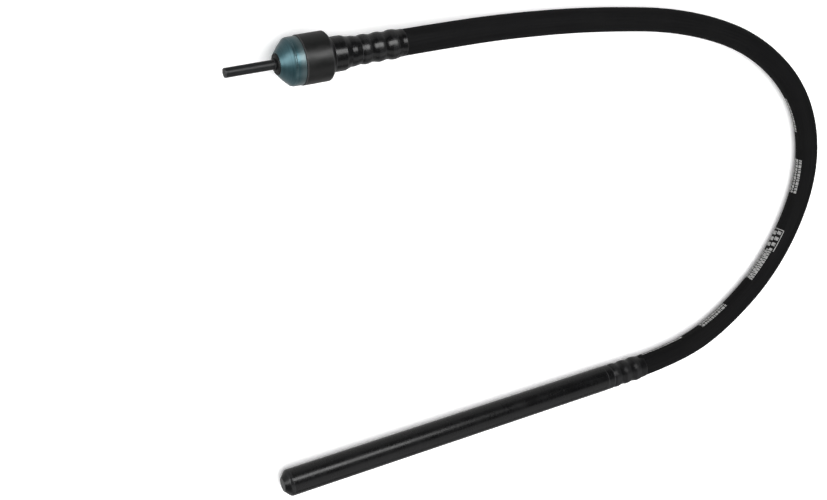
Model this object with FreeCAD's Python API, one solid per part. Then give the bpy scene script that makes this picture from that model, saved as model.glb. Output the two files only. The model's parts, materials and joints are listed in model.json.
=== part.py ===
import FreeCAD, Part
import math
import os

from FreeCAD import Vector

# Flexible-shaft concrete vibrator for a hand drill, in millimetres.
# It lies on the plane z = 0. The coupling and the poker head lie side by side along X,
# and the hose makes one U-turn from the coupling to the head on their +X side.
# The origin is under the middle of the rigid pieces, without the hose.

# Driving dimensions
COLLAR_D = 41.0
HEAD_D = 25.0
HOSE_D = 22.4
SHANK_D = 8.0
AXIS_SPACING = 385.0
OVERALL_LENGTH = 414.8

# Clearances: between turning parts, between fitted parts, and end to end
RUN_GAP = 0.05
FIT_GAP = 0.05
END_GAP = 0.3

# A point on each of the two turning axes, which both lie along X
DRIVE = Vector(0, (AXIS_SPACING - (COLLAR_D - HEAD_D) / 2) / 2, COLLAR_D / 2)
HEAD = Vector(0, DRIVE.y - AXIS_SPACING, HEAD_D / 2)

# Outside of the coupling, from the shank's free end towards +X
SHANK_END = -OVERALL_LENGTH / 2
SHANK_CHAMFER = 1.0
SHOULDER_X = SHANK_END + 41.4
NOSE_X = SHOULDER_X + 2.6
NOSE_FACE_D = 19.2
NOSE_BAND_D = 39.6
CONE_LENGTH = 9.2
BAND_LENGTH = 9.2
BAND_EDGE = 0.9
COLLAR_X = NOSE_X + CONE_LENGTH + BAND_LENGTH
COLLAR_LENGTH = 27.6
COLLAR_CHAMFER = 4.2
COLLAR_CHAMFER_RISE = 5.2
NECK_X = COLLAR_X + COLLAR_LENGTH
NECK_D = 29.0
NECK_LENGTH = 10.7
NECK_TAPER = 5.0
THROAT_D = 25.4
THROAT_LENGTH = 4.5
DRIVE_LIP_X = -51.0

# Outside of the head, from its tip towards +X
TIP_X = -199.0
TIP_LENGTH = 7.4
TIP_FACE_D = 13.0
TUBE_X = TIP_X + TIP_LENGTH
HEAD_LIP_X = OVERALL_LENGTH / 2
ADAPTER_RING = 8.0

# Ferrules and barbed hose tails, the same at both ends of the hose
FERRULE_LENGTH = 41.4
FERRULE_START_D = 23.0
FERRULE_GROOVE_D = 23.2
FERRULE_CREST_D = 25.0
FERRULE_LIP_D = 23.1
CRESTS = 3
CREST_X = 5.6
CREST_PITCH = 12.5
CREST_ROUND = 11.2
CREST_TRIM = 0.45
LIP_LENGTH = 4.2
LIP_ROUND = 6.0
LOCK_D = 18.9
LOCK_LENGTH = 16.3
LOCK_GROOVE = 3.0
LOCK_GROOVE_DEPTH = 0.9
TAIL_D = 17.3
TAIL_BORE = 13.4
BARBS = 6
BARB_PITCH = 4.0
DRIVE_FERRULE_X = DRIVE_LIP_X - FERRULE_LENGTH
HEAD_FERRULE_X = HEAD_LIP_X - FERRULE_LENGTH
TAIL_LENGTH = LOCK_LENGTH + BARBS * BARB_PITCH + 0.6

# Layers of the hose
COVER_BORE = 17.5
LINER_D = 17.3
LINER_BORE = 14.9
CORE_D = 9.5

# Seals and the spindle under them, screwed spigots and circlips
JOURNAL_D = 9.0
DUST_SEAL_D = 10.8
DUST_SEAL_DEPTH = 4.0
DUST_SEAL_FLANGE_D = 17.4
DUST_SEAL_FLANGE = 1.2
LIP_SEAL_D = 18.0
LIP_SEAL_LENGTH = 5.0
LIP_SEAL_X = NOSE_X + 6.0
NOSE_HOLLOW_D = 24.4
NOSE_HOLLOW_LENGTH = 6.0
NOSE_SPIGOT_D = 34.0
NOSE_SPIGOT_LENGTH = 5.0
NECK_SPIGOT_D = 22.0
NECK_SPIGOT_LENGTH = 4.4
NECK_BORE = 18.0
NECK_BORE_LENGTH = 8.0
O_RING = 1.3
O_RING_GROOVE = 1.9
CLIP = 1.0
CLIP_GAP_ANGLE = 48.0

# Bearings: bore, outer diameter, width, ball diameter and number of balls
COUPLING_BEARING = {"bore": 12.0, "outer": 28.0, "width": 8.0, "ball": 4.762, "count": 8}
HEAD_BEARING = {"bore": 7.0, "outer": 19.0, "width": 6.0, "ball": 3.969, "count": 7}

# Inside of the coupling
SEAT_D = COUPLING_BEARING["bore"]
SPINDLE_FLANGE_D = 15.6
FIRST_BEARING_X = COLLAR_X + NOSE_SPIGOT_LENGTH
SPACER_X = FIRST_BEARING_X + COUPLING_BEARING["width"]
SPACER_LENGTH = 2.0
SECOND_BEARING_X = SPACER_X + SPACER_LENGTH
SEAT_END_X = SECOND_BEARING_X + COUPLING_BEARING["width"]
SPINDLE_TAIL = 18.0
SPINDLE_FACE_X = SEAT_END_X + SPINDLE_TAIL

# Square drive between each shaft and the flexible core's end fitting
SQUARE = 6.0
SQUARE_LENGTH = 11.6
FITTING_D = 12.0
FITTING_LENGTH = 19.5
FITTING_GRIP = 15.5
FITTING_GAP = 0.1

# Inside of the head
HEAD_BORE = 19.0
TIP_SPIGOT_LENGTH = 13.0
TIP_HOLLOW_D = 12.0
TIP_HOLLOW_DEPTH = 9.0
TIP_HOLLOW_CONE = 3.4
FRONT_BEARING_X = TUBE_X + TIP_SPIGOT_LENGTH + 0.1
FRONT_CLIP_X = FRONT_BEARING_X + HEAD_BEARING["width"] + 0.1
TUBE_END_X = HEAD_FERRULE_X - ADAPTER_RING
ADAPTER_SPIGOT_LENGTH = 24.0
ADAPTER_X = TUBE_END_X - ADAPTER_SPIGOT_LENGTH
SHAFT_SEAL_LENGTH = 6.0
SHAFT_SEAL_X = ADAPTER_X - SHAFT_SEAL_LENGTH - 0.1
END_BEARING_X = SHAFT_SEAL_X - HEAD_BEARING["width"] - 0.1
HEAD_SPACER_LENGTH = 8.0
HEAD_SPACER_X = END_BEARING_X - HEAD_SPACER_LENGTH
REAR_BEARING_X = HEAD_SPACER_X - HEAD_BEARING["width"]
REAR_CLIP_X = REAR_BEARING_X - CLIP - 0.1
WEIGHT_D = 16.8
WEIGHT_FLAT = 1.5
WEIGHT_WEB = 6.0
WEIGHT_GAP = 2.0
ROTOR_HUB_X = ADAPTER_X + 1.0
ROTOR_HUB_LENGTH = 14.0
ROTOR_FACE_X = ROTOR_HUB_X + ROTOR_HUB_LENGTH

# The hose's route, from inside the coupling's ferrule to inside the head's ferrule
HOSE_ROUTE = [
    (-75.5, 188.5, 20.5),
    (-15, 188.5, 20.5),
    (60, 185, 11.25),
    (150, 178, 11.25),
    (258, 161.5, 11.25),
    (352, 122.5, 11.25),
    (418, 53.5, 11.25),
    (432, -34, 11.25),
    (386, -125, 11.25),
    (306, -182, 11.25),
    (238, -196.5, 12.5),
    (182.6, -196.5, 12.5),
]

nodes = {}


def rounded_corner(before, corner, after, radius):
    """The start, middle and end of the arc that rounds a corner."""
    back = (before - corner).normalize()
    onward = (after - corner).normalize()
    half = back.getAngle(onward) / 2
    inward = (back + onward).normalize()
    reach = radius / math.tan(half)
    middle = corner + inward * (radius / math.sin(half) - radius)
    return corner + back * reach, middle, corner + onward * reach


def turned(axis, outline):
    """A solid turned about an axis along X, from corners (x, radius).

    A corner's third number, if it has one, is the radius that rounds it.
    """
    corners = [Vector(step[0], 0, step[1]) for step in outline]
    stops = []
    for i, step in enumerate(outline):
        stop = (corners[i],)
        if len(step) == 3:
            after = corners[(i + 1) % len(corners)]
            stop = rounded_corner(corners[i - 1], corners[i], after, step[2])
        stops.append(stop)
    edges = []
    here = stops[-1][-1]
    for stop in stops:
        edges.append(Part.LineSegment(here, stop[0]).toShape())
        if len(stop) == 3:
            edges.append(Part.Arc(*stop).toShape())
        here = stop[-1]
    face = Part.Face(Part.Wire(edges))
    solid = face.revolve(Vector(0, 0, 0), Vector(1, 0, 0), 360)
    solid.translate(axis)
    return solid


def shifted(outline, x):
    """The same outline, moved along the axis."""
    return [(x + step[0],) + tuple(step[1:]) for step in outline]


def ring(axis, x0, x1, inner, outer, chamfer=0.05):
    """A plain ring between two diameters, with its outer edges broken."""
    inside = inner / 2
    outside = outer / 2
    outline = [(x0, inside), (x0, outside - chamfer), (x0 + chamfer, outside)]
    outline += [(x1 - chamfer, outside), (x1, outside - chamfer), (x1, inside)]
    return turned(axis, outline)


def ring_seal(axis, x, outer):
    """An O-ring that reaches the given outer diameter."""
    centre = Vector(x, axis.y, axis.z)
    return Part.makeTorus((outer - O_RING) / 2, O_RING / 2, centre, Vector(1, 0, 0))


def with_seal_groove(body, axis, x, outer):
    """The body with an O-ring groove cut around the given outer diameter."""
    half = O_RING_GROOVE / 2
    return body.cut(ring(axis, x - half, x + half, outer - 2 * O_RING - 0.2, outer + 0.8))


def square_bar(axis, x0, x1, width):
    """A square bar along X, centred on an axis."""
    corner = Vector(x0, axis.y - width / 2, axis.z - width / 2)
    return Part.makeBox(x1 - x0, width, width, corner)


def circlip(axis, x0, inner, outer, lug):
    """A snap ring that is open at the top, with an eyed lug at each side of the gap."""
    half = math.radians(CLIP_GAP_ANGLE / 2)
    side = outer * math.sin(half)
    top = outer * math.cos(half)
    corners = [Vector(0, 0, 0), Vector(0, side, top), Vector(0, -side, top), Vector(0, 0, 0)]
    wedge = Part.Face(Part.makePolygon(corners)).extrude(Vector(CLIP, 0, 0))
    wedge.translate(axis + Vector(x0, 0, 0))
    body = ring(axis, x0, x0 + CLIP, inner, outer).cut(wedge)
    middle = (inner + outer) / 4
    turn = half + math.atan(lug / middle)
    along = Vector(1, 0, 0)
    for hand in (-1, 1):
        centre = axis + Vector(x0, hand * middle * math.sin(turn), middle * math.cos(turn))
        body = body.fuse(Part.makeCylinder(lug, CLIP, centre, along))
        body = body.cut(Part.makeCylinder(0.45 * lug, CLIP, centre, along))
    return body


def lip_seal(axis, x0, shaft, outer, length):
    """A rotary shaft seal with its closed side at x0, whose lip runs close to the shaft."""
    lip = shaft / 2 + RUN_GAP
    case = outer / 2
    outline = [(0, lip + 0.8), (0, case), (length, case), (length, case - 0.9)]
    outline += [(1.2, case - 0.9), (1.2, lip + 1.5), (length - 0.8, lip + 1.1)]
    outline += [(length - 0.8, lip), (length - 1.6, lip)]
    return turned(axis, shifted(outline, x0))


def make_bearing(name, axis, x0, size):
    """A deep-groove ball bearing in four nodes: two rings, the balls and their cage."""
    pitch = (size["bore"] + size["outer"]) / 4
    bore = size["bore"] / 2
    ball = size["ball"] / 2
    land = 0.62 * ball
    edge = 0.4
    x1 = x0 + size["width"]
    middle = (x0 + x1) / 2
    race = Part.makeTorus(pitch, ball + RUN_GAP, Vector(middle, axis.y, axis.z), Vector(1, 0, 0))
    inner_ring = [(x0, bore + edge), (x0, pitch - land), (x1, pitch - land), (x1, bore + edge)]
    inner_ring += [(x1 - edge, bore), (x0 + edge, bore)]
    nodes[name + "_inner_ring"] = turned(axis, inner_ring).cut(race)
    outer_ring = ring(axis, x0, x1, 2 * (pitch + land), size["outer"], edge)
    nodes[name + "_outer_ring"] = outer_ring.cut(race)
    half_width = 1.36 * ball
    cage = ring(axis, middle - half_width, middle + half_width, 2 * pitch - 1.4, 2 * pitch + 1.4)
    balls = []
    for i in range(size["count"]):
        turn = 2 * math.pi * i / size["count"]
        centre = axis + Vector(middle, pitch * math.cos(turn), pitch * math.sin(turn))
        balls.append(Part.makeSphere(ball, centre))
        cage = cage.cut(Part.makeSphere(ball + 2 * RUN_GAP, centre))
    nodes[name + "_cage"] = cage
    nodes[name + "_balls"] = Part.makeCompound(balls)


def make_spindle():
    """The round shank with its bearing seat and square socket, and the circlip behind it."""
    shank = SHANK_D / 2
    journal = JOURNAL_D / 2
    flange = SPINDLE_FLANGE_D / 2
    seat = SEAT_D / 2
    groove = seat - 0.5
    outline = [
        (SHANK_END, 0),
        (SHANK_END, shank - SHANK_CHAMFER),
        (SHANK_END + SHANK_CHAMFER, shank),
        (SHOULDER_X, shank),
        (SHOULDER_X, journal),
        (COLLAR_X - 4.2, journal),
        (COLLAR_X - 4.2, flange),
        (FIRST_BEARING_X, flange),
        (FIRST_BEARING_X, seat - FIT_GAP / 2),
        (SEAT_END_X, seat - FIT_GAP / 2),
        (SEAT_END_X, groove),
        (SEAT_END_X + CLIP + 0.1, groove),
        (SEAT_END_X + CLIP + 0.1, seat),
        (SPINDLE_FACE_X - 0.5, seat),
        (SPINDLE_FACE_X, seat - 0.5),
        (SPINDLE_FACE_X, 0),
    ]
    nodes["drive_spindle"] = turned(DRIVE, outline).cut(square_socket(DRIVE, SPINDLE_FACE_X))
    clip_x = SEAT_END_X + 0.05
    nodes["spindle_circlip"] = circlip(DRIVE, clip_x, 2 * groove + 0.1, SEAT_D + 3.6, 1.1)


def square_socket(axis, face):
    """The square hole in a shaft's +X end."""
    return square_bar(axis, face - SQUARE_LENGTH - 0.6, face, SQUARE + 2 * FIT_GAP)


def make_core_end(name, axis, shaft_face):
    """The square-ended fitting on the flexible core, in the socket of the shaft beside it."""
    outer = FITTING_D / 2
    bore = CORE_D / 2 + RUN_GAP
    floor = FITTING_LENGTH - FITTING_GRIP
    outline = [(0, 0), (0, outer - 0.5), (0.5, outer), (FITTING_LENGTH - 0.5, outer)]
    outline += [(FITTING_LENGTH, outer - 0.5), (FITTING_LENGTH, bore), (floor, bore), (floor, 0)]
    face = shaft_face + FITTING_GAP
    square = square_bar(axis, face - SQUARE_LENGTH, face, SQUARE)
    nodes[name] = turned(axis, shifted(outline, face)).fuse(square)


def core_limit(shaft_face):
    """Where the flexible core ends inside its fitting."""
    return shaft_face + FITTING_GAP + FITTING_LENGTH - FITTING_GRIP + END_GAP


def make_nose():
    """The cone-shaped nose cap with its O-ring and the lip seal inside it."""
    face = NOSE_FACE_D / 2
    band = NOSE_BAND_D / 2
    spigot = NOSE_SPIGOT_D / 2 - FIT_GAP
    hollow = NOSE_HOLLOW_D / 2
    hollow_x = COLLAR_X - NOSE_HOLLOW_LENGTH
    lip_seat = LIP_SEAL_D / 2 + FIT_GAP
    dust_seat = DUST_SEAL_D / 2 + FIT_GAP
    clear = JOURNAL_D / 2 + 0.6
    seal_back = NOSE_X + DUST_SEAL_DEPTH
    outline = [
        (NOSE_X, dust_seat),
        (NOSE_X, face, 0.5),
        (NOSE_X + CONE_LENGTH, band - 0.2, 3.0),
        (COLLAR_X - 1.4, band),
        (COLLAR_X - 0.3, band - BAND_EDGE),
        (COLLAR_X, band - BAND_EDGE),
        (COLLAR_X, spigot),
        (FIRST_BEARING_X, spigot),
        (FIRST_BEARING_X, hollow),
        (hollow_x, hollow),
        (hollow_x, lip_seat),
        (LIP_SEAL_X, lip_seat),
        (LIP_SEAL_X, clear),
        (seal_back, clear),
        (seal_back, dust_seat),
    ]
    groove_x = COLLAR_X + 1.6
    nodes["nose_cap"] = with_seal_groove(turned(DRIVE, outline), DRIVE, groove_x, 2 * spigot)
    nodes["nose_o_ring"] = ring_seal(DRIVE, groove_x, 2 * spigot)
    nodes["spindle_lip_seal"] = lip_seal(
        DRIVE, LIP_SEAL_X, JOURNAL_D, LIP_SEAL_D, LIP_SEAL_LENGTH
    )


def make_dust_seal():
    """The rubber seal in the nose cap's front, whose flange covers the cap's flat face."""
    bore = JOURNAL_D / 2 + RUN_GAP
    lead_in = 0.5
    flange = DUST_SEAL_FLANGE_D / 2
    flange_x = NOSE_X - DUST_SEAL_FLANGE
    sleeve = DUST_SEAL_D / 2
    sleeve_end = NOSE_X + DUST_SEAL_DEPTH
    outline = [
        (flange_x, bore + lead_in),
        (flange_x, flange, 0.6),
        (NOSE_X, flange),
        (NOSE_X, sleeve),
        (sleeve_end, sleeve),
        (sleeve_end, bore),
        (flange_x + lead_in, bore),
    ]
    nodes["dust_seal"] = turned(DRIVE, outline)


def make_grip_collar():
    """The collar around both spindle bearings, with its chamfered rear shoulder."""
    outer = COLLAR_D / 2
    front_bore = NOSE_SPIGOT_D / 2
    bearing_bore = COUPLING_BEARING["outer"] / 2 + FIT_GAP / 2
    rear_bore = NECK_SPIGOT_D / 2 + FIT_GAP
    outline = [
        (COLLAR_X, front_bore),
        (COLLAR_X, outer, 0.8),
        (NECK_X - COLLAR_CHAMFER, outer, 1.6),
        (NECK_X, outer - COLLAR_CHAMFER_RISE, 0.4),
        (NECK_X, rear_bore),
        (SEAT_END_X, rear_bore),
        (SEAT_END_X, bearing_bore),
        (FIRST_BEARING_X, bearing_bore),
        (FIRST_BEARING_X, front_bore),
    ]
    nodes["grip_collar"] = turned(DRIVE, outline)


def make_coupling_spacers():
    """The rings that keep the coupling's two bearings apart, one for each pair of rings."""
    outer = COUPLING_BEARING["outer"]
    nodes["outer_spacer"] = ring(DRIVE, SPACER_X, SECOND_BEARING_X, outer - 3.5, outer)
    nodes["inner_spacer"] = ring(DRIVE, SPACER_X, SECOND_BEARING_X, SEAT_D + 0.1, SEAT_D + 4)


def hose_tail(x):
    """The outline of a lock section and barbed hose tail that start at x, and of their bore."""
    lock = LOCK_D / 2
    tail = TAIL_D / 2
    root = tail - 0.5
    groove = lock - LOCK_GROOVE_DEPTH
    groove_x = LOCK_LENGTH - 2 * LOCK_GROOVE
    outline = [(0, lock), (groove_x, lock), (groove_x, groove)]
    outline += [(groove_x + LOCK_GROOVE, groove), (groove_x + LOCK_GROOVE, lock)]
    outline += [(LOCK_LENGTH, lock), (LOCK_LENGTH, root)]
    for i in range(BARBS):
        start = LOCK_LENGTH + i * BARB_PITCH
        outline += [(start + 0.3 * BARB_PITCH, tail), (start + BARB_PITCH, root)]
    outline += [(TAIL_LENGTH, root - 0.3), (TAIL_LENGTH, TAIL_BORE / 2)]
    return shifted(outline, x)


def make_hose_neck():
    """The smooth neck behind the collar, with its spigot and barbed hose tail."""
    spigot_x = NECK_X - NECK_SPIGOT_LENGTH
    spigot = NECK_SPIGOT_D / 2
    neck = NECK_D / 2
    throat = THROAT_D / 2
    step = NECK_X + NECK_LENGTH
    throat_x = step + NECK_TAPER
    bore_end = NECK_X + NECK_BORE_LENGTH
    outline = [
        (spigot_x, NECK_BORE / 2),
        (spigot_x, spigot),
        (NECK_X, spigot),
        (NECK_X, neck, 0.5),
        (step, neck, 2.5),
        (throat_x, throat, 3.0),
        (throat_x + THROAT_LENGTH, throat - 0.15, 4.0),
        (DRIVE_FERRULE_X, throat - 1),
    ]
    outline += hose_tail(DRIVE_FERRULE_X)
    outline += [(bore_end, TAIL_BORE / 2), (bore_end, NECK_BORE / 2)]
    groove_x = NECK_X - 1.7
    nodes["hose_neck"] = with_seal_groove(turned(DRIVE, outline), DRIVE, groove_x, NECK_SPIGOT_D)
    nodes["neck_o_ring"] = ring_seal(DRIVE, groove_x, NECK_SPIGOT_D)


def make_ferrule(name, axis, x):
    """A crimped ferrule: three soft waves and a plain lip, over the hose and its barbed tail."""
    groove = FERRULE_GROOVE_D / 2 - CREST_TRIM
    crest = FERRULE_CREST_D / 2 + CREST_TRIM
    lip = FERRULE_LIP_D / 2
    hose = HOSE_D / 2 + FIT_GAP
    lock = LOCK_D / 2 + FIT_GAP
    key = LOCK_D / 2 - LOCK_GROOVE_DEPTH + 0.2
    key_x = LOCK_LENGTH - 2 * LOCK_GROOVE + 0.3
    key_end = key_x + LOCK_GROOVE - 0.6
    outline = [(0, lock), (0, FERRULE_START_D / 2, 0.3), (CREST_X, crest, CREST_ROUND)]
    for i in range(1, CRESTS):
        crest_x = CREST_X + i * CREST_PITCH
        outline.append((crest_x - CREST_PITCH / 2, groove, CREST_ROUND))
        outline.append((crest_x, crest, CREST_ROUND))
    outline += [
        (FERRULE_LENGTH - LIP_LENGTH, lip, LIP_ROUND),
        (FERRULE_LENGTH, lip, 0.2),
        (FERRULE_LENGTH, hose),
        (LOCK_LENGTH, hose),
        (LOCK_LENGTH, lock),
        (key_end, lock),
        (key_end, key),
        (key_x, key),
        (key_x, lock),
    ]
    nodes[name] = turned(axis, shifted(outline, x))


def hose_path(route, first_x, last_x, report):
    """Straight runs joined by tangent arcs, each as large as its two runs allow.

    The path starts at first_x and ends at last_x, on the route's straight ends.
    """
    places = [Vector(*point) for point in route]
    here = Vector(first_x, places[0].y, places[0].z)
    edges = []
    for i in range(1, len(places) - 1):
        before = places[i - 1] - places[i]
        after = places[i + 1] - places[i]
        back = 0.45 * min(before.Length, after.Length)
        turn = math.pi - before.getAngle(after)
        radius = back / math.tan(turn / 2)
        if report:
            print("hose point %d: turn %.1f deg, radius %.0f mm" % (i, math.degrees(turn), radius))
        before.normalize()
        after.normalize()
        inward = before + after
        inward.normalize()
        start = places[i] + before * back
        middle = places[i] + inward * (radius / math.cos(turn / 2) - radius)
        end = places[i] + after * back
        edges.append(Part.LineSegment(here, start).toShape())
        edges.append(Part.Arc(start, middle, end).toShape())
        here = end
    last = Vector(last_x, places[-1].y, places[-1].z)
    edges.append(Part.LineSegment(here, last).toShape())
    return Part.Wire(edges)


def make_hose_layer(name, first_x, last_x, outer, inner, report=False):
    """One tube of the hose, or its core where inner is 0."""
    path = hose_path(HOSE_ROUTE, first_x, last_x, report)
    start = Vector(first_x, DRIVE.y, DRIVE.z)
    layer = path.makePipe(disc(start, outer))
    section = math.pi * (outer ** 2 - inner ** 2) / 4
    if inner:
        layer = layer.cut(path.makePipe(disc(start, inner)))
    ratio = layer.Volume / (section * path.Length)
    print("%s: length %.1f mm, volume / (section x length) %.5f" % (name, path.Length, ratio))
    nodes[name] = layer


def disc(centre, diameter):
    """A round face across X."""
    return Part.Face(Part.Wire(Part.makeCircle(diameter / 2, centre, Vector(1, 0, 0))))


def make_hose():
    """The rubber cover, the steel spiral liner and the flexible core."""
    cover_ends = (HOSE_ROUTE[0][0], HOSE_ROUTE[-1][0])
    liner_ends = [x + TAIL_LENGTH + END_GAP for x in (DRIVE_FERRULE_X, HEAD_FERRULE_X)]
    core_ends = [core_limit(x) for x in (SPINDLE_FACE_X, ROTOR_FACE_X)]
    make_hose_layer("hose_cover", *cover_ends, HOSE_D, COVER_BORE, report=True)
    make_hose_layer("hose_liner", *liner_ends, LINER_D, LINER_BORE)
    make_hose_layer("flexible_core", *core_ends, CORE_D, 0)


def make_head_tube():
    """The steel tube of the poker head, with the two circlips in its bore."""
    tube = ring(HEAD, TUBE_X, TUBE_END_X, HEAD_BORE, HEAD_D, 0.25)
    for name, x in (("head_front_circlip", FRONT_CLIP_X), ("head_rear_circlip", REAR_CLIP_X)):
        tube = tube.cut(ring(HEAD, x - 0.05, x + CLIP + 0.05, HEAD_BORE - 1, HEAD_BORE + 1))
        nodes[name] = circlip(HEAD, x, HEAD_BORE - 3.2, HEAD_BORE + 0.9, 1.0)
    nodes["head_tube"] = tube


def make_tip_plug():
    """The screwed-in nose of the head, with a flat end face and a rounded shoulder."""
    outer = HEAD_D / 2
    face = TIP_FACE_D / 2
    spigot = HEAD_BORE / 2 - FIT_GAP
    end = TUBE_X + TIP_SPIGOT_LENGTH
    hollow = TIP_HOLLOW_D / 2
    hollow_x = end - TIP_HOLLOW_DEPTH
    outline = [
        (TIP_X, 0),
        (TIP_X, face, 0.6),
        (TUBE_X - 1.8, outer, 4.0),
        (TUBE_X - 0.25, outer),
        (TUBE_X, outer - 0.25),
        (TUBE_X, spigot),
        (end, spigot),
        (end, hollow),
        (hollow_x, hollow),
        (hollow_x - TIP_HOLLOW_CONE, 0),
    ]
    groove_x = TUBE_X + 2.4
    nodes["tip_plug"] = with_seal_groove(turned(HEAD, outline), HEAD, groove_x, 2 * spigot)
    nodes["tip_o_ring"] = ring_seal(HEAD, groove_x, 2 * spigot)


def make_head_adapter():
    """The screwed-in rear end of the head, with its barbed hose tail."""
    spigot = HEAD_BORE / 2 - FIT_GAP
    collar = HEAD_D / 2 - 0.1
    outline = [
        (ADAPTER_X, TAIL_BORE / 2),
        (ADAPTER_X, spigot),
        (TUBE_END_X, spigot),
        (TUBE_END_X, collar, 0.3),
        (HEAD_FERRULE_X - 0.6, collar, 0.6),
        (HEAD_FERRULE_X, collar - 0.9),
    ]
    outline += hose_tail(HEAD_FERRULE_X)
    groove_x = TUBE_END_X - 2.4
    nodes["head_adapter"] = with_seal_groove(turned(HEAD, outline), HEAD, groove_x, 2 * spigot)
    nodes["head_o_ring"] = ring_seal(HEAD, groove_x, 2 * spigot)


def make_rotor():
    """The eccentric rotor, whose weight is milled flat on its upper side."""
    journal = HEAD_BEARING["bore"] / 2 - FIT_GAP / 2
    shoulder = journal + 1.3
    weight = WEIGHT_D / 2
    bearing_end = FRONT_BEARING_X + HEAD_BEARING["width"]
    weight_x = FRONT_CLIP_X + CLIP + WEIGHT_GAP
    weight_end = REAR_CLIP_X - WEIGHT_GAP
    outline = [
        (FRONT_BEARING_X - 1, 0),
        (FRONT_BEARING_X - 1, journal - 0.5),
        (FRONT_BEARING_X - 0.5, journal),
        (bearing_end, journal),
        (bearing_end, shoulder),
        (weight_x, shoulder),
        (weight_x, weight),
        (weight_end, weight),
        (weight_end, shoulder),
        (REAR_BEARING_X, shoulder),
        (REAR_BEARING_X, journal),
        (ROTOR_HUB_X, journal),
        (ROTOR_HUB_X, FITTING_D / 2),
        (ROTOR_FACE_X - 0.5, FITTING_D / 2),
        (ROTOR_FACE_X, FITTING_D / 2 - 0.5),
        (ROTOR_FACE_X, 0),
    ]
    flat_x = weight_x + WEIGHT_WEB
    flat_end = weight_end - WEIGHT_WEB
    corner = Vector(flat_x, HEAD.y - WEIGHT_D, HEAD.z + WEIGHT_FLAT)
    flat = Part.makeBox(flat_end - flat_x, 2 * WEIGHT_D, WEIGHT_D, corner)
    rotor = turned(HEAD, outline).cut(flat)
    nodes["eccentric_rotor"] = rotor.cut(square_socket(HEAD, ROTOR_FACE_X))


def make_head_spacer_and_seal():
    """The ring between the head's two rear bearings, and the seal behind them."""
    outer = HEAD_BORE - 2 * FIT_GAP
    nodes["head_bearing_spacer"] = ring(HEAD, HEAD_SPACER_X, END_BEARING_X, outer - 2.7, outer)
    nodes["head_shaft_seal"] = lip_seal(
        HEAD, SHAFT_SEAL_X, HEAD_BEARING["bore"], outer, SHAFT_SEAL_LENGTH
    )


make_spindle()
make_nose()
make_dust_seal()
make_grip_collar()
make_bearing("coupling_front_bearing", DRIVE, FIRST_BEARING_X, COUPLING_BEARING)
make_bearing("coupling_rear_bearing", DRIVE, SECOND_BEARING_X, COUPLING_BEARING)
make_coupling_spacers()
make_hose_neck()
make_core_end("core_drive_end", DRIVE, SPINDLE_FACE_X)
make_ferrule("drive_ferrule", DRIVE, DRIVE_FERRULE_X)
make_hose()
make_ferrule("head_ferrule", HEAD, HEAD_FERRULE_X)
make_core_end("core_head_end", HEAD, ROTOR_FACE_X)
make_head_adapter()
make_head_tube()
make_tip_plug()
make_rotor()
make_bearing("head_front_bearing", HEAD, FRONT_BEARING_X, HEAD_BEARING)
make_bearing("head_rear_bearing", HEAD, REAR_BEARING_X, HEAD_BEARING)
make_bearing("head_end_bearing", HEAD, END_BEARING_X, HEAD_BEARING)
make_head_spacer_and_seal()

os.makedirs("parts", exist_ok=True)
for name, shape in nodes.items():
    if not shape.isValid():
        raise ValueError(name + " isn't valid")
    shape.exportStep("parts/%s.step" % name)
print(len(nodes), "nodes")
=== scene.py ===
import json
import math

import bpy
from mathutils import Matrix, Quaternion, Vector


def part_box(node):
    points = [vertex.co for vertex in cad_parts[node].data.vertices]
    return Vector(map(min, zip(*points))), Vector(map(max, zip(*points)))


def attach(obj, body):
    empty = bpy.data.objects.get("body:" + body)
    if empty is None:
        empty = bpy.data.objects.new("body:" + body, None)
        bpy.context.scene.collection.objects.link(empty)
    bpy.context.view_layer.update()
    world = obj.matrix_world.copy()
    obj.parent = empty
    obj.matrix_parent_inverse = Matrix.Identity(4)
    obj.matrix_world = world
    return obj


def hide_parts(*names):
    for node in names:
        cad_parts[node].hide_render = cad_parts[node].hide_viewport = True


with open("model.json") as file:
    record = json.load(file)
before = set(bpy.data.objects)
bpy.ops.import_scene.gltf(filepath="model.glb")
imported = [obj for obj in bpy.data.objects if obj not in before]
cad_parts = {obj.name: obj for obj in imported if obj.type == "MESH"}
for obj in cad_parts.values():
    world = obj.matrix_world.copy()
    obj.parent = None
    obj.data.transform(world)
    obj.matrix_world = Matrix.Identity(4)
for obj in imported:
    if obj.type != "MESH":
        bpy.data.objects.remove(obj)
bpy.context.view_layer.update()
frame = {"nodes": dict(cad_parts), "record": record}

# All lengths are in metres, but outlines of turned pieces are in millimetres. The coupling and
# the head lie along X, and the hose joins them.
MM = 1000
DRIVE_Y, DRIVE_Z = 0.1885, 0.0205
HEAD_Y, HEAD_Z = -0.1965, 0.0125
HOSE_RADIUS = 0.0112
HOSE_BORE_RADIUS = 0.00875
LINER_RADIUS = 0.0086
LINER_WALL = 0.0012
LINER_PITCH = 0.0048
LINER_GROOVE = 0.0005
LINER_ENDS_X = (-0.0512, 0.2072)
CORE_RADIUS = 0.0047
CORE_STRANDS = 8
CORE_TWIST = 260  # radians per metre, in the phase of the strands' wave
CORE_GROOVE = 0.07  # as a part of the radius
CORE_ENDS_X = (-0.0996, 0.1534)
HOSE_ROUTE = [
    (-0.0755, 0.1885, 0.0205),
    (-0.015, 0.1885, 0.0205),
    (0.060, 0.185, 0.01125),
    (0.150, 0.178, 0.01125),
    (0.258, 0.1615, 0.01125),
    (0.352, 0.1225, 0.01125),
    (0.418, 0.0535, 0.01125),
    (0.432, -0.034, 0.01125),
    (0.386, -0.125, 0.01125),
    (0.306, -0.182, 0.01125),
    (0.238, -0.1965, 0.0125),
    (0.1826, -0.1965, 0.0125),
]
ROUTE_RESOLUTION = 48

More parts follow.
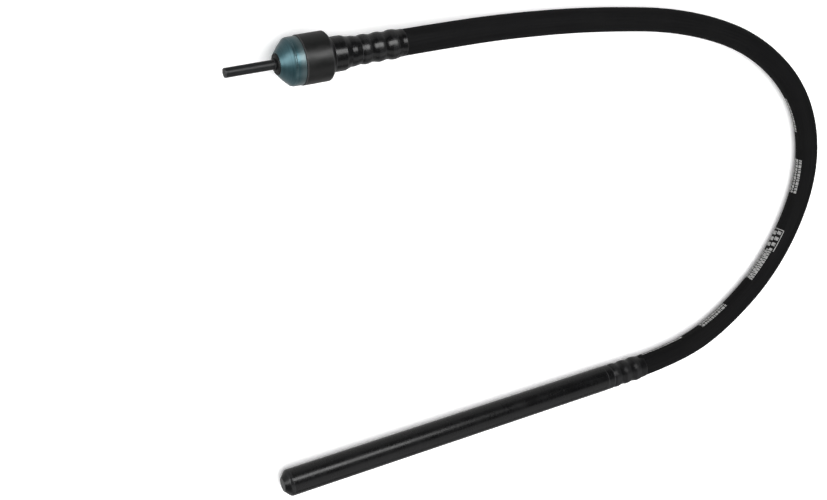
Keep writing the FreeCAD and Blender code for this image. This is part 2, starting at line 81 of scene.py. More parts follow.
CAMERA_PLACE = Vector((-0.4718, 0.3865, 0.8746))
CAMERA_AIM = Vector((-0.0439, -0.0069, 0.0))
CAMERA_ROLL = 123.5

# The nose turns from its satin cone to its rear band between these; the band's paler colour is a
# painted sheen.
BAND_X = (-0.1515, -0.1475)

# Points on an outline: degrees between them on a fillet, and millimetres on a straight side,
# from its corners and between each other. A shorter side than SHORT_SIDE gets none.
ARC_STEP = 5
INSET = 0.4
SPACING = 5
SHORT_SIDE = 1.6
ON_AXIS = 0.001

FLOOR_DROP = 0.0002


def link(obj):
    bpy.context.scene.collection.objects.link(obj)
    return obj


def make_camera():
    data = bpy.data.cameras.new("camera")
    data.lens = 50
    data.sensor_width = 36
    data.clip_start = 0.01
    data.clip_end = 100
    camera = link(bpy.data.objects.new("camera", data))
    camera.rotation_mode = "QUATERNION"
    camera.location = CAMERA_PLACE
    level = (CAMERA_AIM - CAMERA_PLACE).to_track_quat("-Z", "Y")
    camera.rotation_quaternion = level @ Quaternion((0, 0, 1), math.radians(CAMERA_ROLL))
    bpy.context.scene.camera = camera


# ---------------------------------------------------------------- node helpers


class Nodes:
    """A material's node tree, with short calls for the nodes used here."""

    def __init__(self, name):
        self.material = bpy.data.materials.new(name)
        self.material.use_nodes = True
        self.tree = self.material.node_tree
        self.shader = self.tree.nodes["Principled BSDF"]

    def add(self, kind, **values):
        node = self.tree.nodes.new("ShaderNode" + kind)
        for key, value in values.items():
            setattr(node, key, value)
        return node

    def wire(self, out, target):
        self.tree.links.new(out, target)

    def put(self, **values):
        for key, value in values.items():
            self.shader.inputs[key.replace("_", " ")].default_value = value

    def coords(self, kind, scale):
        """Object or UV coordinates, scaled along each axis."""
        source = self.add("TexCoord")
        mapping = self.add("Mapping")
        self.wire(source.outputs[kind], mapping.inputs["Vector"])
        mapping.inputs["Scale"].default_value = scale
        return mapping.outputs["Vector"]

    def noise(self, vector, scale=1.0, detail=3.0, roughness=0.55):
        node = self.add("TexNoise")
        self.wire(vector, node.inputs["Vector"])
        node.inputs["Scale"].default_value = scale
        node.inputs["Detail"].default_value = detail
        node.inputs["Roughness"].default_value = roughness
        return node.outputs["Fac"]

    def span(self, value, low, high, new_low, new_high):
        """Maps a value from one range to another, clamped."""
        node = self.add("MapRange")
        self.wire(value, node.inputs["Value"])
        names = ("From Min", "From Max", "To Min", "To Max")
        for name, number in zip(names, (low, high, new_low, new_high)):
            node.inputs[name].default_value = number
        return node.outputs["Result"]

    def math(self, operation, a, b):
        node = self.add("Math", operation=operation)
        for socket, value in zip(node.inputs, (a, b)):
            if isinstance(value, (int, float)):
                socket.default_value = value
            else:
                self.wire(value, socket)
        return node.outputs["Value"]

    def blend(self, factor, a, b):
        """A mix of two colours, each given as numbers or as a socket."""
        node = self.add("Mix", data_type="RGBA")
        self.wire(factor, node.inputs["Factor"])
        for socket, value in ((node.inputs[6], a), (node.inputs[7], b)):
            if isinstance(value, tuple):
                socket.default_value = (*value, 1)
            else:
                self.wire(value, socket)
        return node.outputs[2]

    def bump(self, height, depth, strength=1.0, before=None):
        """A bump of the given depth in metres."""
        node = self.add("Bump")
        node.inputs["Strength"].default_value = strength
        node.inputs["Distance"].default_value = depth
        self.wire(height, node.inputs["Height"])
        if before:
            self.wire(before, node.inputs["Normal"])
        return node.outputs["Normal"]

    def attribute(self, name):
        node = self.add("Attribute", attribute_type="GEOMETRY", attribute_name=name)
        return node.outputs["Fac"]

    def use(self, colour=None, rough=None, normal=None):
        for value, name in ((colour, "Base Color"), (rough, "Roughness"), (normal, "Normal")):
            if value:
                self.wire(value, self.shader.inputs[name])
        return self.material


def turned_metal(
    name, dark, light, rough, metallic, wear_colour, specular=0.5, wear=0.6, lines=1.0
):
    """A turned part: fine rings, cloudy colour and gloss, and paler worn edges."""
    n = Nodes(name)
    n.put(Metallic=metallic, Specular_IOR_Level=specular)
    rings = n.noise(n.coords("Object", (5200, 60, 60)), detail=4, roughness=0.65)
    clouds = n.noise(n.coords("Object", (60, 60, 60)), detail=5)
    specks = n.noise(n.coords("Object", (900, 900, 900)), detail=3)
    colour = n.blend(n.span(clouds, 0.3, 0.7, 0, 1), dark, light)
    rubbed = n.math("MULTIPLY", n.attribute("wear"), n.span(specks, 0.42, 0.62, 0.1, wear))
    colour = n.blend(rubbed, colour, wear_colour)
    rough_clouds = n.span(clouds, 0.3, 0.7, rough * 0.82, rough * 1.15)
    rough_rings = n.span(rings, 0.3, 0.7, -0.04 * lines, 0.04 * lines)
    bump = n.bump(rings, 0.00002 * lines, 0.6)
    bump = n.bump(specks, 0.00001, 0.4, bump)
    return n.use(colour, n.math("ADD", rough_clouds, rough_rings), bump)


def coated_nose():
    """Teal anodised aluminium with turning rings, a clear gloss, and a paler rear band whose colour
    is a painted sheen.
    """
    n = Nodes("nose_teal")
    n.put(Metallic=0.95, Coat_Weight=0.6, Coat_Roughness=0.3)
    place = n.add("SeparateXYZ")
    n.wire(n.coords("Object", (1, 1, 1)), place.inputs["Vector"])
    painted_sheen_band = n.span(place.outputs["X"], *BAND_X, 0, 1)
    rings = n.noise(n.coords("Object", (1500, 12, 12)), detail=3, roughness=0.7)
    fine = n.noise(n.coords("Object", (5200, 60, 60)), detail=4, roughness=0.65)
    clouds = n.noise(n.coords("Object", (90, 90, 90)), detail=5)
    specks = n.noise(n.coords("Object", (900, 900, 900)), detail=3)
    colour = n.blend(n.span(rings, 0.3, 0.7, 0, 1), (0.036, 0.1, 0.12), (0.072, 0.162, 0.188))
    colour = n.blend(n.span(clouds, 0.35, 0.7, 0, 0.4), colour, (0.034, 0.1, 0.117))
    # The rear band's paler, greyer colour is a painted sheen.
    colour = n.blend(n.math("MULTIPLY", painted_sheen_band, 0.4), colour, (0.24, 0.28, 0.275))
    rubbed = n.math("MULTIPLY", n.attribute("wear"), n.span(specks, 0.42, 0.62, 0.1, 0.4))
    colour = n.blend(rubbed, colour, (0.22, 0.3, 0.31))
    bump = n.bump(rings, 0.00006, 0.7)
    bump = n.bump(fine, 0.00002, 0.6, bump)
    satin = n.math("ADD", n.span(clouds, 0.3, 0.7, 0.36, 0.46), n.math("MULTIPLY", painted_sheen_band, 0.08))
    return n.use(colour, satin, bump)


def rubber(name, dark, light, rough):
    """Matte moulded rubber with a fine grain."""
    n = Nodes(name)
    n.put(Specular_IOR_Level=0.35)
    grain = n.noise(n.coords("Object", (1600, 1600, 1600)), detail=4)
    clouds = n.noise(n.coords("Object", (45, 45, 45)), detail=4)
    colour = n.blend(n.span(clouds, 0.3, 0.7, 0, 1), dark, light)
    rough_grain = n.span(grain, 0.3, 0.7, rough - 0.08, rough + 0.08)
    return n.use(colour, rough_grain, n.bump(grain, 0.00004, 0.5))


def hose_material():
    """Black rubber with fine lengthwise lines, a cloudy bloom and a little handling dust."""
    n = Nodes("hose_rubber")
    n.put(Specular_IOR_Level=0.12)
    lines = n.noise(n.coords("UV", (14, 1500, 1)), detail=3, roughness=0.6)
    broad = n.noise(n.coords("UV", (5, 240, 1)), detail=2)
    grain = n.noise(n.coords("UV", (1400, 1400, 1)), detail=3)
    clouds = n.noise(n.coords("Object", (28, 28, 28)), detail=6, roughness=0.6)
    dark, light = (0.0026, 0.0026, 0.0028), (0.0055, 0.0055, 0.0058)
    colour = n.blend(n.span(lines, 0.35, 0.7, 0, 1), dark, light)
    colour = n.blend(n.span(clouds, 0.45, 0.75, 0, 0.3), colour, (0.008, 0.008, 0.0078))
    rough = n.span(clouds, 0.3, 0.7, 0.68, 0.8)
    height = n.math("ADD", n.math("MULTIPLY", lines, 0.6), n.math("MULTIPLY", grain, 0.4))
    bump = n.bump(height, 0.00006, 0.7)
    bump = n.bump(broad, 0.00012, 0.5, bump)
    return n.use(colour, rough, bump)


def ink_material():
    """White print on rubber, thin and rubbed in places."""
    n = Nodes("print_ink")
    n.put(Specular_IOR_Level=0.3)
    rubbed = n.noise(n.coords("UV", (420, 420, 1)), detail=4, roughness=0.7)
    lines = n.noise(n.coords("UV", (14, 1500, 1)), detail=3, roughness=0.6)
    worn = n.math("ADD", n.span(rubbed, 0.5, 0.68, 0, 0.75), n.span(lines, 0.5, 0.7, 0, 0.4))
    colour = n.blend(n.span(worn, 0, 1, 0, 1), (0.34, 0.34, 0.335), (0.03, 0.03, 0.031))
    return n.use(colour, n.span(rubbed, 0.3, 0.7, 0.5, 0.7), n.bump(lines, 0.00004, 0.5))


def wound_steel(name, dark, light, rough):
    """Bare oiled steel, for inner parts."""
    n = Nodes(name)
    n.put(Metallic=1.0)
    clouds = n.noise(n.coords("Object", (120, 120, 120)), detail=5)
    fine = n.noise(n.coords("Object", (2600, 300, 300)), detail=3)
    colour = n.blend(n.span(clouds, 0.3, 0.7, 0, 1), dark, light)
    rough_fine = n.span(fine, 0.3, 0.7, rough * 0.8, rough * 1.2)
    return n.use(colour, rough_fine, n.bump(fine, 0.00001, 0.5))


# ---------------------------------------------------------------- mesh helpers


def build(name, places, faces, material, body, wear=None, smooth_angle=30):
    """A mesh object in the row frame that rides on a body and has a material."""
    mesh = bpy.data.meshes.new(name)
    mesh.from_pydata(places, [], faces)
    mesh.polygons.foreach_set("use_smooth", [True] * len(mesh.polygons))
    mesh.set_sharp_from_angle(angle=math.radians(smooth_angle))
    if wear is not None:
        layer = mesh.attributes.new("wear", "FLOAT", "POINT")
        layer.data.foreach_set("value", wear)
    mesh.materials.append(material)
    obj = link(bpy.data.objects.new(name, mesh))
    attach(obj, body)
    return obj


def rounded(outline):
    """A closed outline of (x, radius[, fillet]), as dense points (place, wear)."""
    corners = [Vector(step[:2]) for step in outline]
    count = len(corners)
    stops = []
    area = sum(a.x * b.y - b.x * a.y for a, b in zip(corners, corners[1:] + corners[:1]))
    for i, step in enumerate(outline):
        corner = corners[i]
        back = (corners[i - 1] - corner).normalized()
        onward = (corners[(i + 1) % count] - corner).normalized()
        turn = back.x * onward.y - back.y * onward.x
        convex = turn * area < 0 and abs(turn) > 0.3
        if len(step) < 3:
            stops.append([(corner, 1.0 if convex else 0.0)])
            continue
        radius = step[2]
        half = back.angle(onward) / 2
        centre = corner + (back + onward).normalized() * (radius / math.sin(half))
        start = corner + back * (radius / math.tan(half))
        end = corner + onward * (radius / math.tan(half))
        arm, last = start - centre, end - centre
        turned = arm.angle(last)
        parts = max(3, math.ceil(math.degrees(turned) / ARC_STEP))
        sign = 1 if arm.x * last.y > arm.y * last.x else -1
        arc = []
        worn = (1.0 if radius <= 1 else 0.4) if convex or radius <= 1 else 0.0
        for k in range(parts + 1):
            angle = sign * turned * k / parts
            place = centre + Vector((
                arm.x * math.cos(angle) - arm.y * math.sin(angle),
                arm.x * math.sin(angle) + arm.y * math.cos(angle),
            ))
            arc.append((place, worn))
        stops.append(arc)
    points = []
    for i in range(count):
        points += stops[i]
        start, end = stops[i][-1][0], stops[(i + 1) % count][0][0]
        length = (end - start).length
        steps = []
        if length > SHORT_SIDE:
            inner = length - 2 * INSET
            between = math.ceil(inner / SPACING)
            steps = [INSET / length]
            steps += [(INSET + inner * k / between) / length for k in range(1, between)]
            steps += [1 - INSET / length]
        points += [(start.lerp(end, part), 0.0) for part in steps]
    return points


def lathe(name, y, z, outline, material, body, slot, segments=128, shape=None):
    """A solid turned about an axis along X, from a closed outline in millimetres.

    shape, if given, takes x, the radius and the angle, and returns the radius to use.
    """
    points = rounded(outline)
    places, wear, rows = [], [], []
    for place, worn in points:
        if place.y < ON_AXIS:
            rows.append([len(places)] * segments)
            places.append((place.x / MM, y, z))
            wear.append(worn)
            continue
        rows.append(range(len(places), len(places) + segments))
        for k in range(segments):
            angle = 2 * math.pi * k / segments
            radius = shape(place.x, place.y, angle) if shape else place.y
            places.append((
                place.x / MM,
                y + radius * math.sin(angle) / MM,
                z + radius * math.cos(angle) / MM,
            ))
            wear.append(worn)
    faces = []
    for i, row in enumerate(rows):
        after = rows[(i + 1) % len(rows)]
        if row[0] == row[1] and after[0] == after[1]:
            continue
        for k in range(segments):
            m = (k + 1) % segments
            face = [row[k], row[m], after[m], after[k]]
            kept = [v for j, v in enumerate(face) if v not in face[:j]]
            faces.append(kept[::-1])
    obj = build(name, places, faces, material, body, wear)
    weighted = obj.modifiers.new("weighted", "WEIGHTED_NORMAL")
    weighted.keep_sharp = True
    return obj


class Path:
    """A smooth line through points, measured along its length, with a level frame."""

    def __init__(self, points):
        self.points = points
        self.at_length = [0.0]
        for a, b in zip(points, points[1:]):
            self.at_length.append(self.at_length[-1] + (b - a).length)
        self.length = self.at_length[-1]

    def frame(self, i):
        """The point i with its direction, its side towards the loop's inside, and its top."""
        ahead = self.points[min(i + 1, len(self.points) - 1)]
        behind = self.points[max(i - 1, 0)]
        along = (ahead - behind).normalized()
        side = along.cross(Vector((0, 0, 1))).normalized()
        return self.points[i], along, side, side.cross(along)

    def at(self, s):
        """The same at any distance along the line, straight on beyond its ends."""
        last = len(self.points) - 1
        i = 0
        while i < last - 1 and self.at_length[i + 1] < s:
            i += 1
        step = self.at_length[i + 1] - self.at_length[i]
        part = (s - self.at_length[i]) / step
        a, b = self.frame(i), self.frame(i + 1)
        if part < 0 or part > 1:
            place = a[0] + (b[0] - a[0]) * part
            return place, *a[1:]
        along, side, top = (u.lerp(v, part).normalized() for u, v in zip(a[1:], b[1:]))
        return a[0].lerp(b[0], part), along, side, top


def sweep(name, frames, lengths, radius, segments, material, body, hole=0.0):
    """A tube or, with no hole, a rod along frames.

    radius takes the distance along and the angle from the top.
    """
    places, faces, uvs = [], [], []
    rings = len(frames)
    around = 2 * math.pi * HOSE_RADIUS / segments
    walls = (radius, lambda s, angle: hole) if hole else (radius,)
    for wall, reach in enumerate(walls):
        first = len(places)
        for (place, _, side, top), s in zip(frames, lengths):
            for k in range(segments):
                angle = 2 * math.pi * k / segments
                arm = top * math.cos(angle) + side * math.sin(angle)
                places.append(place + arm * reach(s, angle))
        for i in range(rings - 1):
            for k in range(segments):
                here, ahead = first + i * segments, first + (i + 1) * segments
                m = (k + 1) % segments
                face = (here + k, here + m, ahead + m, ahead + k)
                spots = (
                    (lengths[i], k * around), (lengths[i], (k + 1) * around),
                    (lengths[i + 1], (k + 1) * around), (lengths[i + 1], k * around),
                )
                faces.append(face[::-1] if wall else face)
                uvs += spots[::-1] if wall else spots
    for i, flip in ((0, False), (rings - 1, True)):
        rim = i * segments
        if hole:
            inner = (rings + i) * segments
            for k in range(segments):
                m = (k + 1) % segments
                face = (inner + k, inner + m, rim + m, rim + k)
                faces.append(face[::-1] if flip else face)
                uvs += [(lengths[i], k * around)] * 4
        else:
            around_rim = range(segments) if flip else reversed(range(segments))
            faces.append(tuple(rim + k for k in around_rim))
            uvs += [(lengths[i], 0.0)] * segments
    obj = build(name, places, faces, material, body, smooth_angle=50)
    uv_layer = obj.data.uv_layers.new(name="UVMap")
    uv_layer.data.foreach_set("uv", [number for pair in uvs for number in pair])
    return obj


# ---------------------------------------------------------------- the hose


def spline_points():
    """The points of the hose's smooth line, read from a NURBS curve along its route."""
    curve = bpy.data.curves.new("hose_route", "CURVE")
    curve.dimensions = "3D"
    curve.resolution_u = ROUTE_RESOLUTION
    spline = curve.splines.new("NURBS")
    spline.points.add(len(HOSE_ROUTE) - 1)
    for point, place in zip(spline.points, HOSE_ROUTE):
        point.co = (*place, 1)
    spline.order_u = 3
    spline.use_endpoint_u = True
    spline.resolution_u = ROUTE_RESOLUTION
    holder = link(bpy.data.objects.new("hose_route", curve))
    bpy.context.view_layer.update()
    mesh = bpy.data.meshes.new_from_object(holder)
    points = [vertex.co.copy() for vertex in mesh.vertices]
    bpy.data.objects.remove(holder)
    bpy.data.curves.remove(curve)
    bpy.data.meshes.remove(mesh)
    return points


# Print on the hose: each mark's start and end along it, and the angle of its middle from the
# top, which differs because the hose is slightly twisted. Angles are in degrees.
SMALL_MARKS = [(0.512, 0.559, 124), (0.593, 0.633, 98), (0.785, 0.824, 106), (0.852, 0.907, 126)]
LARGE_MARK = (0.677, 0.744, 94)
SMALL_PRINT = 60
LARGE_PRINT = 78
SMALL_DASH = 16
LARGE_DASH = 19
FRAME_LINE = 4
BLOCKS = 3
BLOCK_PITCH = 0.0072
FIRST_BLOCK = 0.0024
DASHES = (0.0031, 0.0017, 0.0024, 0.0038, 0.0014, 0.0028)
DASH_GAP = 0.0009
INK_HEIGHT = 0.00006
INK_DEPTH = 0.00004


def dash_row(start, end, low, high, first):
    """A row of dashes of uneven length, as bars (start, end, lowest and highest angle)."""
    row = []
    i = first
    while start < end:
        length = min(DASHES[i % len(DASHES)], end - start)
        row.append((start, start + length, low, high))
        start += length + DASH_GAP
        i += 1
    return row


def print_bars():
    """Plain dashes, blocks and a frame that stand in for the print."""
    bars = []
    for i, (start, end, middle) in enumerate(SMALL_MARKS):
        for k, low in enumerate((middle - SMALL_PRINT / 2, middle - 8, middle + 14)):
            bars += dash_row(start, end, low, low + SMALL_DASH, i + 2 * k)
    start, end, middle = LARGE_MARK
    low, high = middle - LARGE_PRINT / 2, middle + LARGE_PRINT / 2
    bars.append((start, start + 0.4 * (end - start), low, low + FRAME_LINE))
    bars.append((start, start + 0.0009, low + FRAME_LINE, high))
    for i in range(BLOCKS):
        x = start + FIRST_BLOCK + i * BLOCK_PITCH
        bars.append((x, x + 0.0040, low + 2.5 * FRAME_LINE, middle - 6))
        bars.append((x + 0.0012, x + 0.0056, middle, high - FRAME_LINE))
    rest = start + FIRST_BLOCK + BLOCKS * BLOCK_PITCH
    for i, row in enumerate((low + 12, middle - 8, middle + 16)):
        bars += dash_row(rest + 0.002 * i, end, row, row + LARGE_DASH, i)
    return bars


def make_print(path, material):
    """The print as thin raised bars, whose lower faces sit just inside the hose's surface."""
    places, faces, uvs = [], [], []
    for start, end, low, high in print_bars():
        across = max(1, round((high - low) / 4))
        steps = max(1, round((end - start) / 0.003))
        row = across + 1
        first = len(places)
        below = (steps + 1) * row
        for radius in (HOSE_RADIUS + INK_HEIGHT, HOSE_RADIUS - INK_DEPTH):
            for i in range(steps + 1):
                s = start + (end - start) * i / steps
                place, _, side, top = path.at(s)
                for k in range(row):
                    angle = math.radians(low + (high - low) * k / across)
                    arm = top * math.cos(angle) + side * math.sin(angle)
                    places.append(place + arm * radius)
                    uvs.append((s, angle * HOSE_RADIUS))
        for i in range(steps):
            for k in range(across):
                a = first + i * row + k
                upper = (a, a + 1, a + row + 1, a + row)
                faces.append(upper)
                faces.append([v + below for v in reversed(upper)])
        rim = [first + k for k in range(across)]
        rim += [first + i * row + across for i in range(steps)]
        rim += [first + steps * row + across - k for k in range(across)]
        rim += [first + (steps - i) * row for i in range(steps)]
        for a, b in zip(rim, rim[1:] + rim[:1]):
            faces.append((b, a, a + below, b + below))
    obj = build("hose_print", places, faces, material, "housing")
    uv_layer = obj.data.uv_layers.new(name="UVMap")
    flat = [number for loop in obj.data.loops for number in uvs[loop.vertex_index]]
    uv_layer.data.foreach_set("uv", flat)
    return obj


def make_hose():
    path = Path(spline_points())
    frames = [path.frame(i) for i in range(len(path.points))]
    cover = sweep(
        "hose", frames, path.at_length, lambda s, angle: HOSE_RADIUS, 72,
        hose_material(), "housing", hole=HOSE_BORE_RADIUS,
    )
    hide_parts("hose_cover")

    def spaced(ends_x, step):
        """Frames and lengths along the line between two places on its straight ends."""
        start = ends_x[0] - HOSE_ROUTE[0][0]
        end = path.length - (ends_x[1] - HOSE_ROUTE[-1][0])
        count = round((end - start) / step)
        lengths = [start + (end - start) * i / count for i in range(count + 1)]
        return [path.at(s) for s in lengths], lengths

    def spiral(s, angle):
        return LINER_RADIUS - LINER_GROOVE * abs(math.sin(math.pi * s / LINER_PITCH + angle / 2))

    def strands(s, angle):
        wave = math.sin(CORE_STRANDS / 2 * angle + s * CORE_TWIST)
        return CORE_RADIUS * (1 - CORE_GROOVE * abs(wave))

    frames, lengths = spaced(LINER_ENDS_X, 0.0012)
    liner = sweep(
        "spiral_liner", frames, lengths, spiral, 32,
        wound_steel("liner_steel", (0.32, 0.32, 0.33), (0.5, 0.5, 0.51), 0.35),
        "housing", hole=LINER_RADIUS - LINER_WALL,
    )
    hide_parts("hose_liner")
    frames, lengths = spaced(CORE_ENDS_X, 0.002)
    core = sweep(
        "wound_core", frames, lengths, strands, 48,
        wound_steel("core_steel", (0.2, 0.2, 0.21), (0.36, 0.36, 0.37), 0.3),
        "housing",
    )
    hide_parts("flexible_core")
    marks = make_print(path, ink_material())


# ---------------------------------------------------------------- rigid pieces

MATERIALS = {}


def keep(maker, name, *look, **more):
    MATERIALS[name] = maker(name, *look, **more)


def make_materials():
    black, soft_black = (0.0022, 0.0022, 0.0024), (0.004, 0.004, 0.0043)
    bare = (0.16, 0.16, 0.165)
    keep(
        turned_metal, "shank_steel", (0.0045, 0.005, 0.0055), (0.009, 0.0095, 0.01),
        0.42, 0.25, (0.16, 0.16, 0.17), wear=0.3,
    )
    MATERIALS["nose_teal"] = coated_nose()
    keep(
        turned_metal, "collar_black", (0.0028, 0.003, 0.0029), (0.005, 0.0053, 0.005),
        0.44, 0.0, bare, specular=0.42, wear=0.2,
    )
    for name, rough, specular, wear, lines in (
        ("neck_black", 0.24, 0.4, 0.1, 0.5),
        ("ferrule_black", 0.25, 0.4, 0.1, 0.6),
        ("dull_ferrule_black", 0.38, 0.3, 0.1, 0.6),
        ("head_black", 0.28, 0.4, 0.12, 0.6),
    ):
        keep(
            turned_metal, name, black, soft_black, rough, 0.0, bare,
            specular=specular, wear=wear, lines=lines,
        )
    keep(rubber, "seal_rubber", (0.005, 0.006, 0.006), (0.01, 0.011, 0.011), 0.5)
    for name, dark, light, rough in (
        ("spring_steel", (0.08, 0.08, 0.09), (0.14, 0.14, 0.15), 0.4),
        ("machined_steel", (0.42, 0.42, 0.43), (0.55, 0.55, 0.56), 0.28),
        ("bearing_steel", (0.52, 0.52, 0.54), (0.63, 0.63, 0.65), 0.16),
        ("ball_steel", (0.68, 0.68, 0.7), (0.76, 0.76, 0.78), 0.07),
        ("cage_steel", (0.5, 0.48, 0.43), (0.6, 0.58, 0.52), 0.3),
    ):
        keep(wound_steel, name, dark, light, rough)


def shifted(outline, x):
    return [(x + step[0],) + tuple(step[1:]) for step in outline]


BARBS = 6
BARB_PITCH = 4
FERRULE_RIM = 11  # the crimp leaves smaller radii as they are
RIDGE_WIDTH = 0.035  # as a part of the pitch of the dies


def hose_tail(x):
    """The lock section, barbed hose tail and bore of the neck and of the head's adapter."""
    outline = [
        (0, 9.45), (10.3, 9.45), (10.3, 8.55), (13.3, 8.55), (13.3, 9.45), (16.3, 9.45),
        (16.3, 8.15),
    ]
    for i in range(BARBS):
        start = 16.3 + BARB_PITCH * i
        outline += [(start + 1.2, 8.65), (start + BARB_PITCH, 8.15)]
    outline += [(40.9, 7.85), (40.9, 6.7)]
    return shifted(outline, x)


def crimped(depth, dies, turn):
    """A shape for ferrules: the dies leave shallow flats with a fine ridge between them."""

    def radius(x, plain, angle):
        if plain < FERRULE_RIM:
            return plain
        pitch = 2 * math.pi / dies
        place = (angle + turn) % pitch / pitch
        ridge = math.exp(-(min(place, 1 - place) / RIDGE_WIDTH) ** 2)
        flat = math.cos(2 * math.pi * (place - 0.5)) * 0.5 + 0.5
        return plain - depth * flat * (1 - ridge)

    return radius


def make_rigid():
    m = MATERIALS
    drive = (DRIVE_Y, DRIVE_Z)
    head = (HEAD_Y, HEAD_Z)

    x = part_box("drive_spindle")[0].x * MM
    shank = lathe("shank", *drive, shifted([
        (0, 0), (0, 4, 0.9), (41.4, 4), (41.4, 4.5, 0.15), (58.2, 4.5), (58.2, 7.8, 0.3),
        (67.4, 7.8), (67.4, 5.975), (85.4, 5.975), (85.4, 5.5), (86.5, 5.5), (86.5, 6),
        (103.4, 6, 0.5), (103.4, 0),
    ], x), m["shank_steel"], "spindle", "shank_steel")
    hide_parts("drive_spindle")

    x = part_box("nose_cap")[0].x * MM
    nose = lathe("nose", *drive, shifted([
        (0, 5.45), (0, 9.6, 0.5), (4.4, 14.7, 16), (9.2, 19.3, 1.6), (10.3, 19.35, 0.4),
        (10.9, 19.75, 0.4), (18.2, 19.85, 0.5), (18.4, 19.3), (18.4, 16.95), (23.4, 16.95),
        (23.4, 12.2), (12.4, 12.2), (12.4, 9.05), (6, 9.05), (6, 5.1), (4, 5.1), (4, 5.45),
    ], x), m["nose_teal"], "housing", "nose_teal", segments=160)
    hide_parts("nose_cap")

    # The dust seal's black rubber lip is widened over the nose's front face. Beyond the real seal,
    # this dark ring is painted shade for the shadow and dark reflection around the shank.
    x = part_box("dust_seal")[0].x * MM
    seal_and_painted_shade = lathe("dust_lip_and_painted_shade", *drive, shifted([
        (0.5, 4.55), (0, 5.2, 0.3), (0.15, 7.0), (0.45, 7.1), (0.45, 7.6), (0.1, 7.7),
        (0, 8.6, 0.5), (1.2, 8.7), (1.2, 5.4), (5.2, 5.4), (5.2, 4.55),
    ], x), m["seal_rubber"], "housing", "seal_rubber")
    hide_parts("dust_seal")

    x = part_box("grip_collar")[0].x * MM
    collar = lathe("collar", *drive, shifted([
        (0, 17), (0, 20.5, 0.8), (23.4, 20.5, 1.6), (27.6, 15.3, 0.4), (27.6, 11.05),
        (23, 11.05), (23, 14.025), (5, 14.025), (5, 17),
    ], x), m["collar_black"], "housing", "collar_black", segments=160)
    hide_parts("grip_collar")

    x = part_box("hose_neck")[0].x * MM
    neck = lathe("neck", *drive, shifted([
        (0, 9), (0, 11, 0.3), (4.4, 11), (4.4, 14.5, 0.5), (15.1, 14.5, 2.5),
        (20.1, 12.7, 3.0), (24.6, 12.55, 4.0), (29.4, 11.7),
    ] + hose_tail(29.4) + [(12.4, 6.7), (12.4, 9)], x),
        m["neck_black"], "housing", "neck_black")
    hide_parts("hose_neck")

    for name, finish, y, z, turn in (
        ("drive_ferrule", "ferrule_black", *drive, 0.2),
        ("head_ferrule", "dull_ferrule_black", *head, 0.45),
    ):
        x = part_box(name)[0].x * MM
        outline = [
            (0, 9.5), (0, 11.5, 0.3), (5.6, 12.95, 11.2), (11.85, 11.15, 11.2),
            (18.1, 12.95, 11.2), (24.35, 11.15, 11.2), (30.6, 12.95, 11.2), (37.2, 11.55, 6),
            (41.4, 11.55, 0.25), (41.4, 11.25), (16.3, 11.25), (16.3, 9.5), (13, 9.5),
            (13, 8.75), (10.6, 8.75), (10.6, 9.5),
        ]
        ferrule = lathe(
            name + "_crimped", y, z, shifted(outline, x), m[finish], "housing",
            "ferrule_black", segments=192, shape=crimped(0.1, 8, turn),
        )
        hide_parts(name)

    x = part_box("head_adapter")[0].x * MM
    adapter = lathe("adapter", *head, shifted([
        (0, 6.7), (0, 9.45, 0.3), (24, 9.45), (24, 12.4, 0.3), (31.4, 12.4, 0.6), (32, 11.5),
    ] + hose_tail(32), x), m["head_black"], "housing", "head_black")
    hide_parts("head_adapter")

    low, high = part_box("head_tube")
    x, length = low.x * MM, (high.x - low.x) * MM
    tube = lathe("poker_tube", *head, shifted([
        (0, 9.5), (0, 12.5, 0.25), (length, 12.5, 0.25), (length, 9.5),
    ], x), m["head_black"], "housing", "head_black", segments=160)
    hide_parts("head_tube")

    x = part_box("tip_plug")[0].x * MM
    tip = lathe("poker_tip", *head, shifted([
        (0, 0), (0, 6.5, 0.6), (5.6, 12.5, 4.0), (7.4, 12.5, 0.25), (7.4, 9.45),
        (20.4, 9.45), (20.4, 6), (11.4, 6), (8, 0),
    ], x), m["head_black"], "housing", "head_black", segments=160)
    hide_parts("tip_plug")


def dress_cad_nodes():
    """Gives each CAD node that stays its finish."""
    slots = {part["node"]: part["material_slot"] for part in frame["record"]["subparts"]}
    for node, obj in frame["nodes"].items():
        material = MATERIALS.get(slots[node])
        if material:
            obj.data.materials.clear()
            obj.data.materials.append(material)


# ---------------------------------------------------------------- the studio


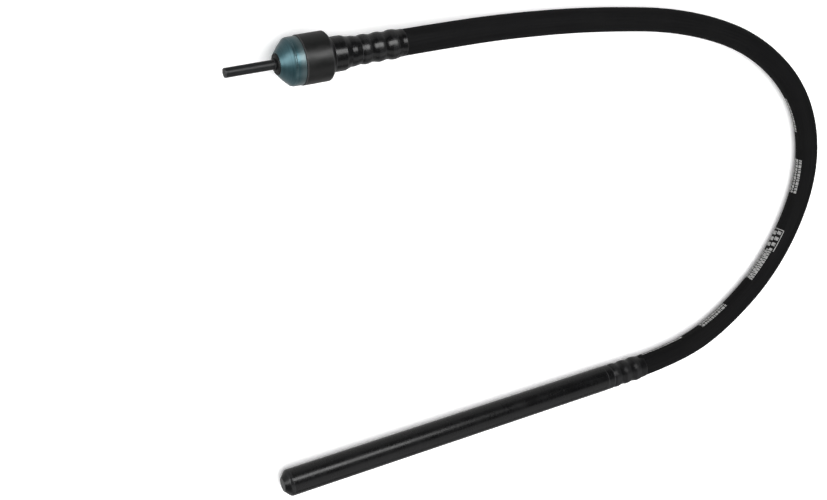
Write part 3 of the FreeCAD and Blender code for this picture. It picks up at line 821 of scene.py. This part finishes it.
def make_floor():
    size = 30
    mesh = bpy.data.meshes.new("floor")
    corners = [(-size, -size, 0), (size, -size, 0), (size, size, 0), (-size, size, 0)]
    mesh.from_pydata(corners, [], [(0, 1, 2, 3)])
    n = Nodes("floor")
    clouds = n.noise(n.coords("Object", (3, 3, 3)), detail=2)
    colour = n.blend(clouds, (0.9, 0.9, 0.9), (0.92, 0.92, 0.92))
    n.put(Roughness=0.9, Specular_IOR_Level=0.1)
    n.put(Emission_Color=(1, 1, 1, 1), Emission_Strength=0.25)
    mesh.materials.append(n.use(colour))
    floor = link(bpy.data.objects.new("floor", mesh))
    floor.location.z = -FLOOR_DROP
    floor.visible_glossy = False


def area_light(name, place, aim, size, power, glossy=True, diffuse=False):
    data = bpy.data.lights.new(name, "AREA")
    data.shape = "RECTANGLE"
    data.size, data.size_y = size
    data.energy = power
    light = link(bpy.data.objects.new(name, data))
    light.location = place
    light.rotation_mode = "QUATERNION"
    light.rotation_quaternion = (Vector(aim) - Vector(place)).to_track_quat("-Z", "Y")
    light.visible_glossy = glossy
    light.visible_camera = False
    light.visible_diffuse = diffuse


def make_studio():
    make_floor()
    world = bpy.data.worlds.new("studio")
    bpy.context.scene.world = world
    world.use_nodes = True
    tree = world.node_tree
    source = tree.nodes.new("ShaderNodeTexCoord")
    split = tree.nodes.new("ShaderNodeSeparateXYZ")
    height = tree.nodes.new("ShaderNodeMapRange")
    height.inputs["From Min"].default_value = -1
    ramp = tree.nodes.new("ShaderNodeValToRGB")
    tree.links.new(source.outputs["Generated"], split.inputs["Vector"])
    tree.links.new(split.outputs["Z"], height.inputs["Value"])
    tree.links.new(height.outputs["Result"], ramp.inputs["Fac"])
    tree.links.new(ramp.outputs["Color"], tree.nodes["Background"].inputs["Color"])
    stops = ((0.35, 0.5), (0.5, 0.38), (0.6, 0.07), (1.0, 0.03))
    for _ in stops[2:]:
        ramp.color_ramp.elements.new(1)
    for element, (place, level) in zip(ramp.color_ramp.elements, stops):
        element.position = place
        element.color = (level, level, level, 1)
    area_light("strip", (0.05, 0.44, 0.66), (0.02, 0.0, 0.0), (0.5, 0.32), 3.4)
    area_light("left_box", (-2.5, 0.8, 0.62), (-0.15, 0.19, 0.0), (1.7, 1.0), 24)
    area_light("side_box", (0.1, -0.86, 0.56), (0.1, -0.86, 0.0), (2.4, 1.28), 6)
    area_light(
        "overhead", (0.1, 0.0, 4.0), (0.1, 0.0, 0.0), (6, 6), 420, glossy=False, diffuse=True
    )
    bpy.context.scene.view_settings.view_transform = "Standard"


make_camera()
make_hose()
make_materials()
make_rigid()
dress_cad_nodes()
make_studio()
